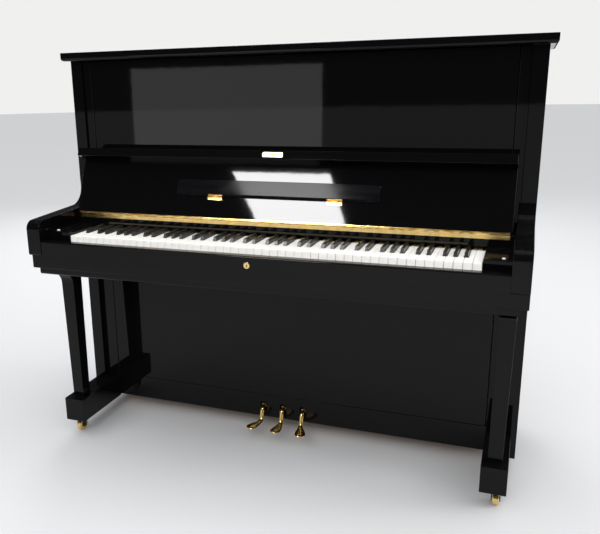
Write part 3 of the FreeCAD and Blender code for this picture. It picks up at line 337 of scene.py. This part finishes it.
# ---------------------------------------------------------------------------
# Casters: small turned brass wheels on axles in cast iron forks. The forks
# are enamelled black and screwed up under the toe blocks and the case.
coat(polished_brass, "front_caster_wheels", "rear_caster_wheels")
iron = Finish("cast_iron_enamel")
casting = iron.noise(220.0, 3.0)
cast_enamel = iron.set(
    Base_Color=iron.ramp(casting, (0.3, (0.012, 0.012, 0.013, 1)), (0.8, (0.03, 0.03, 0.032, 1))),
    Roughness=0.4 + casting * 0.2,
    Metallic=0.6,
)
coat(cast_enamel, "caster_forks")

# ---------------------------------------------------------------------------
# Pedals: three brass castings, polished. Each comes straight out of its slot,
# turns down in a round neck and runs out into a flat foot; the outer two
# splay. The lever and hub behind the rail are plain.
coat(polished_brass, "left_pedal", "middle_pedal", "right_pedal")
pedal_sections = (
    (0, 7.0, 4.5), (8, 7.0, 4.5), (14, 7.0, 4.5), (19, 7.0, 4.5), (24, 7.0, 4.5),
    (29, 6.8, 4.3), (40, 6.4, 4.2), (52, 6.6, 4.2), (58, 7.2, 4.2), (64, 8.4, 4.2),
    (71, 10.0, 4.4), (82, 13.0, 4.4), (93, 16.2, 4.4), (104, 18.4, 4.4), (114, 18.8, 4.3),
    (121, 16.8, 4.0), (126, 12.4, 3.4), (129, 6.0, 2.2),
)
pedal_turns = {
    2: -20, 3: -20, 4: -20, 5: -15, 7: 10, 8: 20, 9: 22, 10: 20, 11: 3, 15: -7, 16: -9,
}
pedal_splay_at = (8, 9, 10)
ring_size = 16
rail_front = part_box("bottom_rail")[0][1]
hub_radius = 0.009
neck_stub = 0.010
joint_plane = 0.008
pedal_pin_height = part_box("left_pedal")[1][2] - hub_radius


def choose_from(piece, section):
    """Selects a pedal's points from one section out to the toe."""
    bpy.ops.mesh.select_all(action="DESELECT")
    bpy.ops.object.mode_set(mode="OBJECT")
    for point in piece.data.vertices:
        point.select = point.index >= section * ring_size
    bpy.ops.object.mode_set(mode="EDIT")


def section_centre(piece, section):
    """The middle of one section's ring of points."""
    bpy.ops.object.mode_set(mode="OBJECT")
    ring = piece.data.vertices[section * ring_size:(section + 1) * ring_size]
    middle = sum((point.co for point in ring), Vector()) / ring_size
    bpy.ops.object.mode_set(mode="EDIT")
    return middle


def brass_pedal(node, splay):
    """One pedal, drawn out ring by ring and then turned down at its neck."""
    x = (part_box(node + "_rod")[0][0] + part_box(node + "_rod")[1][0]) / 2
    z = pedal_pin_height
    start = rail_front + neck_stub
    bpy.ops.object.select_all(action="DESELECT")
    bpy.ops.mesh.primitive_circle_add(
        vertices=ring_size,
        radius=1,
        fill_type="NGON",
        location=(0, 0, 0),
        rotation=(math.pi / 2, 0, 0),
    )
    piece = bpy.context.active_object
    piece.name = node + "_casting"
    bpy.ops.object.transform_apply(location=True, rotation=True, scale=True)
    bpy.ops.object.mode_set(mode="EDIT")
    bpy.ops.mesh.select_mode(type="VERT")
    bpy.ops.mesh.select_all(action="SELECT")
    first = pedal_sections[0]
    bpy.ops.transform.resize(
        value=(first[1] / 1000, 1, first[2] / 1000), center_override=(0, 0, 0)
    )
    bpy.ops.transform.translate(value=(x, start, z))
    here = first
    for section in pedal_sections[1:]:
        step = (section[0] - here[0]) / 1000
        bpy.ops.mesh.extrude_region_move(TRANSFORM_OT_translate={"value": (0, -step, 0)})
        bpy.ops.transform.resize(
            value=(section[1] / here[1], 1, section[2] / here[2]),
            center_override=(x, start - section[0] / 1000, z),
        )
        here = section
    for section in sorted(pedal_turns, reverse=True):
        centre = section_centre(piece, section)
        choose_from(piece, section + 1)
        bpy.ops.transform.rotate(
            value=math.radians(pedal_turns[section]), orient_axis="X", center_override=centre
        )
    for section in pedal_splay_at:
        centre = section_centre(piece, section)
        choose_from(piece, section + 1)
        bpy.ops.transform.rotate(
            value=math.radians(splay / len(pedal_splay_at)),
            orient_axis="Z",
            center_override=centre,
        )
    bpy.ops.mesh.select_all(action="SELECT")
    bpy.ops.mesh.normals_make_consistent(inside=False)
    bpy.ops.object.mode_set(mode="OBJECT")
    rounding = piece.modifiers.new("rounding", "SUBSURF")
    rounding.levels = 2
    rounding.render_levels = 2
    bpy.ops.object.modifier_apply(modifier="rounding")

    lever = bpy.data.objects.new(node + "_lever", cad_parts[node].data.copy())
    bpy.context.collection.objects.link(lever)
    bpy.ops.object.select_all(action="DESELECT")
    lever.select_set(True)
    bpy.context.view_layer.objects.active = lever
    bpy.ops.object.mode_set(mode="EDIT")
    bpy.ops.mesh.select_all(action="SELECT")
    bpy.ops.mesh.remove_doubles(threshold=1e-6)
    bpy.ops.mesh.bisect(
        plane_co=(0, rail_front + joint_plane, 0),
        plane_no=(0, -1, 0),
        clear_outer=True,
        use_fill=True,
    )
    bpy.ops.object.mode_set(mode="OBJECT")
    piece.select_set(True)
    bpy.context.view_layer.objects.active = piece
    bpy.ops.object.join()
    bpy.ops.object.shade_smooth_by_angle(angle=math.radians(40))
    piece.data.materials.clear()
    piece.data.materials.append(polished_brass)
    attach(piece, node)
    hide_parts(node)
    return piece


for node, splay in (("left_pedal", 20), ("middle_pedal", 3), ("right_pedal", -15)):
    brass_pedal(node, splay)

# ---------------------------------------------------------------------------
# Screws of the fallboard's hinge: small countersunk brass screws with a slot,
# driven through the fixed leaf into the nameboard.
hinge_low, hinge_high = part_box("fallboard_hinge_fixed_leaf")
screw_gap = 0.080
screw_radius = 0.0028
screw_head = 0.0008
screw_z = hinge_low[2] + 0.005
slot_width = 0.0007
end_margin = 0.020
leaf_thick = 0.0012
turn_between_screws = 0.7


def slotted_screw(x, y, z, spin):
    """One screw head facing the player, slightly domed, with a sawn slot."""
    bpy.ops.object.select_all(action="DESELECT")
    bpy.ops.mesh.primitive_cylinder_add(
        vertices=16,
        radius=screw_radius,
        depth=screw_head,
        location=(x, y, z),
        rotation=(math.pi / 2, 0, 0),
    )
    head = bpy.context.active_object
    bpy.ops.object.transform_apply(location=True, rotation=True, scale=True)
    bpy.ops.object.mode_set(mode="EDIT")
    bpy.ops.mesh.select_all(action="SELECT")
    bpy.ops.mesh.bevel(offset=0.0002, segments=1, affect="EDGES")
    bpy.ops.object.mode_set(mode="OBJECT")
    bpy.ops.mesh.primitive_cube_add(size=1, location=(x, y - 0.0005, z))
    saw = bpy.context.active_object
    saw.scale = (screw_radius * 3, screw_head, slot_width)
    saw.rotation_euler = (0, spin, 0)
    bpy.ops.object.transform_apply(location=True, rotation=True, scale=True)
    slit = head.modifiers.new("slit", "BOOLEAN")
    slit.object = saw
    slit.operation = "DIFFERENCE"
    bpy.ops.object.select_all(action="DESELECT")
    head.select_set(True)
    bpy.context.view_layer.objects.active = head
    bpy.ops.object.modifier_apply(modifier="slit")
    bpy.data.objects.remove(saw)
    return head


heads = []
half_run = hinge_high[0] - end_margin
steps = int(2 * half_run / screw_gap)
leaf_front = hinge_high[1] - leaf_thick
for step in range(steps + 1):
    x = -half_run + 2 * half_run * step / steps
    heads.append(slotted_screw(x, leaf_front - 0.0003, screw_z, turn_between_screws * step))
bpy.ops.object.select_all(action="DESELECT")
for head in heads:
    head.select_set(True)
bpy.context.view_layer.objects.active = heads[0]
bpy.ops.object.join()
screws = bpy.context.active_object
screws.name = "fallboard_hinge_screws"
screws.data.materials.clear()
screws.data.materials.append(polished_brass)
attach(screws, "case")

# ---------------------------------------------------------------------------
# Felt strip: dark olive wool glued along the nameboard's lower edge, over the
# keys, with its corners pressed soft.
board_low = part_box("nameboard")[0]
strip_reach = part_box("keys_a")[1][0]
strip_thick = 0.0028
strip_height = 0.005
strip_lift = 0.0035
loden = Finish("olive_wool_felt")
loden_nap = loden.noise(700.0, 3.0)
olive_felt = loden.set(
    Base_Color=loden.ramp(
        loden_nap, (0.3, (0.014, 0.012, 0.006, 1)), (0.8, (0.034, 0.028, 0.014, 1))
    ),
    Roughness=0.95,
    Normal=loden.bump(loden_nap, 0.4, 0.001),
)
bpy.ops.object.select_all(action="DESELECT")
bpy.ops.mesh.primitive_cube_add(
    size=1,
    location=(
        0,
        board_low[1] - strip_thick / 2,
        board_low[2] + strip_height / 2 + strip_lift,
    ),
)
strip = bpy.context.active_object
strip.name = "nameboard_felt_strip"
strip.scale = (2 * strip_reach, strip_thick, strip_height)
bpy.ops.object.transform_apply(location=True, rotation=True, scale=True)
bpy.ops.object.mode_set(mode="EDIT")
bpy.ops.mesh.select_all(action="SELECT")
bpy.ops.mesh.bevel(offset=0.0008, segments=3, affect="EDGES")
bpy.ops.object.mode_set(mode="OBJECT")
bpy.ops.object.shade_smooth_by_angle(angle=math.radians(40))
strip.data.materials.append(olive_felt)
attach(strip, "case")

# ---------------------------------------------------------------------------
# Bumpers: two small domes of white felt on the key blocks, which the closed
# fallboard comes down on.
block_low, block_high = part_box("key_blocks")
bumper_radius = 0.0045
bumper_height = 0.003
bumper_inset = 0.022
bumper_setback = 0.012
bumper_seat = 0.0014
pad = Finish("white_wool_felt")
fluff = pad.noise(900.0, 3.0)
white_felt = pad.set(
    Base_Color=pad.ramp(fluff, (0.3, (0.62, 0.60, 0.55, 1)), (0.8, (0.80, 0.78, 0.73, 1))),
    Roughness=0.95,
    Normal=pad.bump(fluff, 0.4, 0.0006),
)
for side, place in (("left", -1), ("right", 1)):
    bpy.ops.object.select_all(action="DESELECT")
    bpy.ops.mesh.primitive_cylinder_add(
        vertices=32,
        radius=bumper_radius,
        depth=bumper_height,
        location=(
            place * (block_high[0] - bumper_inset),
            block_low[1] + bumper_setback,
            block_high[2] + bumper_seat,
        ),
    )
    bumper = bpy.context.active_object
    bumper.name = side + "_fallboard_bumper"
    bpy.ops.object.transform_apply(location=True, rotation=True, scale=True)
    bpy.ops.object.mode_set(mode="EDIT")
    bpy.ops.mesh.select_all(action="SELECT")
    bpy.ops.mesh.bevel(offset=0.0009, segments=3, affect="EDGES")
    bpy.ops.object.mode_set(mode="OBJECT")
    bpy.ops.object.shade_smooth_by_angle(angle=math.radians(40))
    bumper.data.materials.append(white_felt)
    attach(bumper, "case")

# ---------------------------------------------------------------------------
# Naturals: moulded white acrylic covers glued on sticks of pale spruce. The
# bare stick shows behind the cover and below it.
ivory = Finish("white_key_covers")
_, depth_y, height_z = (
    ivory.node("ShaderNodeSeparateXYZ", {}, {"Vector": ivory.place()}, output=n) for n in range(3)
)
cover_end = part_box("keys_c")[0][1] + 0.1465
cover_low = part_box("keys_c")[1][2] - 0.0035
front_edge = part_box("keys_c")[0][1] + 0.002
grain = ivory.noise(40.0, 4.0, (6.0, 0.4, 6.0))
bare = (depth_y > cover_end) + (height_z < cover_low) * (depth_y > front_edge)
wood_tone = ivory.ramp(grain, (0.3, (0.50, 0.34, 0.18, 1)), (0.7, (0.68, 0.50, 0.30, 1)))
mottle = ivory.noise(90.0, 3.0)
cover_tone = ivory.ramp(mottle, (0.3, (0.84, 0.83, 0.79, 1)), (0.7, (0.90, 0.89, 0.86, 1)))
white_covers = ivory.set(
    Base_Color=ivory.blend(bare.math("MINIMUM", 1.0), cover_tone, wood_tone),
    Roughness=0.14 + mottle * 0.08 + bare.math("MINIMUM", 1.0) * 0.4,
)
coat(white_covers, *("keys_" + note for note in "cdefgab"))

# ---------------------------------------------------------------------------
# Sharps: moulded caps of black phenolic glued on their sticks, and left a
# little duller than the lacquer.
ebony = Finish("black_key_covers")
fine = ebony.noise(300.0, 2.0)
black_covers = ebony.set(
    Base_Color=ebony.ramp(fine, (0.3, (0.006, 0.006, 0.006, 1)), (0.8, (0.014, 0.013, 0.012, 1))),
    Roughness=0.22 + fine * 0.15,
)
coat(black_covers, *("keys_" + note + "_sharp" for note in "cdfga"))

# ---------------------------------------------------------------------------
# Back frame, key frame, bottom board and ribs: planed hardwood, glued up and
# finished in clear satin.
timber = Finish("planed_beech")
figure = timber.noise(9.0, 6.0, (9.0, 9.0, 0.6))
pores = timber.noise(160.0, 3.0, (1.0, 1.0, 0.08))
planed_beech = timber.set(
    Base_Color=timber.ramp(
        figure * 0.7 + pores * 0.3,
        (0.25, (0.30, 0.17, 0.08, 1)),
        (0.5, (0.47, 0.30, 0.16, 1)),
        (0.8, (0.60, 0.42, 0.25, 1)),
    ),
    Roughness=0.45 + pores * 0.2,
    Normal=timber.bump(pores, 0.15, 0.001),
)
coat(planed_beech, "back_frame", "key_frame", "bottom_board", "ribs_and_bridges")

# ---------------------------------------------------------------------------
# Soundboard: quarter-sawn spruce strips glued into one thin sheet, held
# between the liners and the plate, and varnished.
spruce = Finish("quartered_spruce")
lines = spruce.noise(34.0, 3.0, (6.0, 1.0, 0.12))
flecks = spruce.noise(240.0, 2.0, (1.0, 1.0, 0.1))
quartered_spruce = spruce.set(
    Base_Color=spruce.ramp(
        lines * 0.75 + flecks * 0.25, (0.3, (0.52, 0.34, 0.16, 1)), (0.7, (0.70, 0.52, 0.29, 1))
    ),
    Roughness=0.35 + flecks * 0.15,
    Normal=spruce.bump(flecks, 0.1, 0.0006),
)
coat(quartered_spruce, "soundboard")

# ---------------------------------------------------------------------------
# Pedal work: beech dowels that stand on the pedals' tails and reach up to the
# action, and enamelled iron brackets that the pedals turn in.
coat(planed_beech, "left_pedal_rod", "middle_pedal_rod", "right_pedal_rod")
coat(cast_enamel, "pedal_brackets")

# ---------------------------------------------------------------------------
# Action: beech wippens on enamelled brackets; hammers and dampers are beech
# with felt where they meet the strings.
coat(planed_beech, "wippens")
coat(cast_enamel, "action_frame")


def felted(name, axis, felt_from):
    """Beech with felt where a hammer's head or a damper's pad is."""
    mixed = Finish(name)
    part = mixed.node("ShaderNodeSeparateXYZ", {}, {"Vector": mixed.place()}, output=axis)
    on_felt = part > felt_from
    beech_lines = mixed.noise(60.0, 4.0, (3.0, 3.0, 0.3))
    fuzz = mixed.noise(600.0, 3.0)
    beech_tone = mixed.ramp(beech_lines, (0.3, (0.40, 0.25, 0.13, 1)), (0.7, (0.58, 0.40, 0.24, 1)))
    felt_tone = mixed.ramp(fuzz, (0.3, (0.58, 0.56, 0.50, 1)), (0.7, (0.76, 0.74, 0.68, 1)))
    return mixed.set(
        Base_Color=mixed.blend(on_felt, beech_tone, felt_tone),
        Roughness=0.5 + on_felt * 0.4,
        Normal=mixed.bump(fuzz, 0.25, 0.0006),
    )


hammer_head_height = 0.026
damper_pad_depth = 0.019
hammer_head_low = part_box("hammers")[1][2] - hammer_head_height
damper_pad_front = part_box("dampers")[1][1] - damper_pad_depth
coat(felted("hammer_felt_on_beech", 2, hammer_head_low), "hammers")
coat(felted("damper_felt_on_beech", 1, damper_pad_front), "dampers")

# ---------------------------------------------------------------------------
# Muffler rail: a batten with a strip of red wool felt, which drops between
# the hammers and the strings.
wool = Finish("red_wool_felt")
nap = wool.noise(700.0, 3.0)
red_felt = wool.set(
    Base_Color=wool.ramp(nap, (0.3, (0.16, 0.02, 0.02, 1)), (0.8, (0.32, 0.05, 0.04, 1))),
    Roughness=0.95,
    Normal=wool.bump(nap, 0.4, 0.001),
)
coat(red_felt, "muffler_rail")

# ---------------------------------------------------------------------------
# Iron plate: one casting, bolted over the pin block and the soundboard,
# bronzed and lacquered gold.
gold = Finish("gold_plate_lacquer")
cast = gold.noise(180.0, 3.0)
gold_lacquer = gold.set(
    Base_Color=gold.ramp(cast, (0.3, (0.50, 0.34, 0.12, 1)), (0.8, (0.66, 0.48, 0.20, 1))),
    Roughness=0.35 + cast * 0.2,
    Metallic=0.7,
)
coat(gold_lacquer, "iron_plate")

# ---------------------------------------------------------------------------
# Strings and tuning pins: drawn steel wire on steel pins, which are driven
# through the plate into the pin block.
steel = Finish("bright_steel")
drawn = steel.noise(400.0, 2.0)
bright_steel = steel.set(
    Base_Color=steel.ramp(drawn, (0.3, (0.5, 0.5, 0.52, 1)), (0.8, (0.7, 0.7, 0.72, 1))),
    Roughness=0.2 + drawn * 0.15,
    Metallic=1.0,
)
coat(bright_steel, "strings_and_pins")
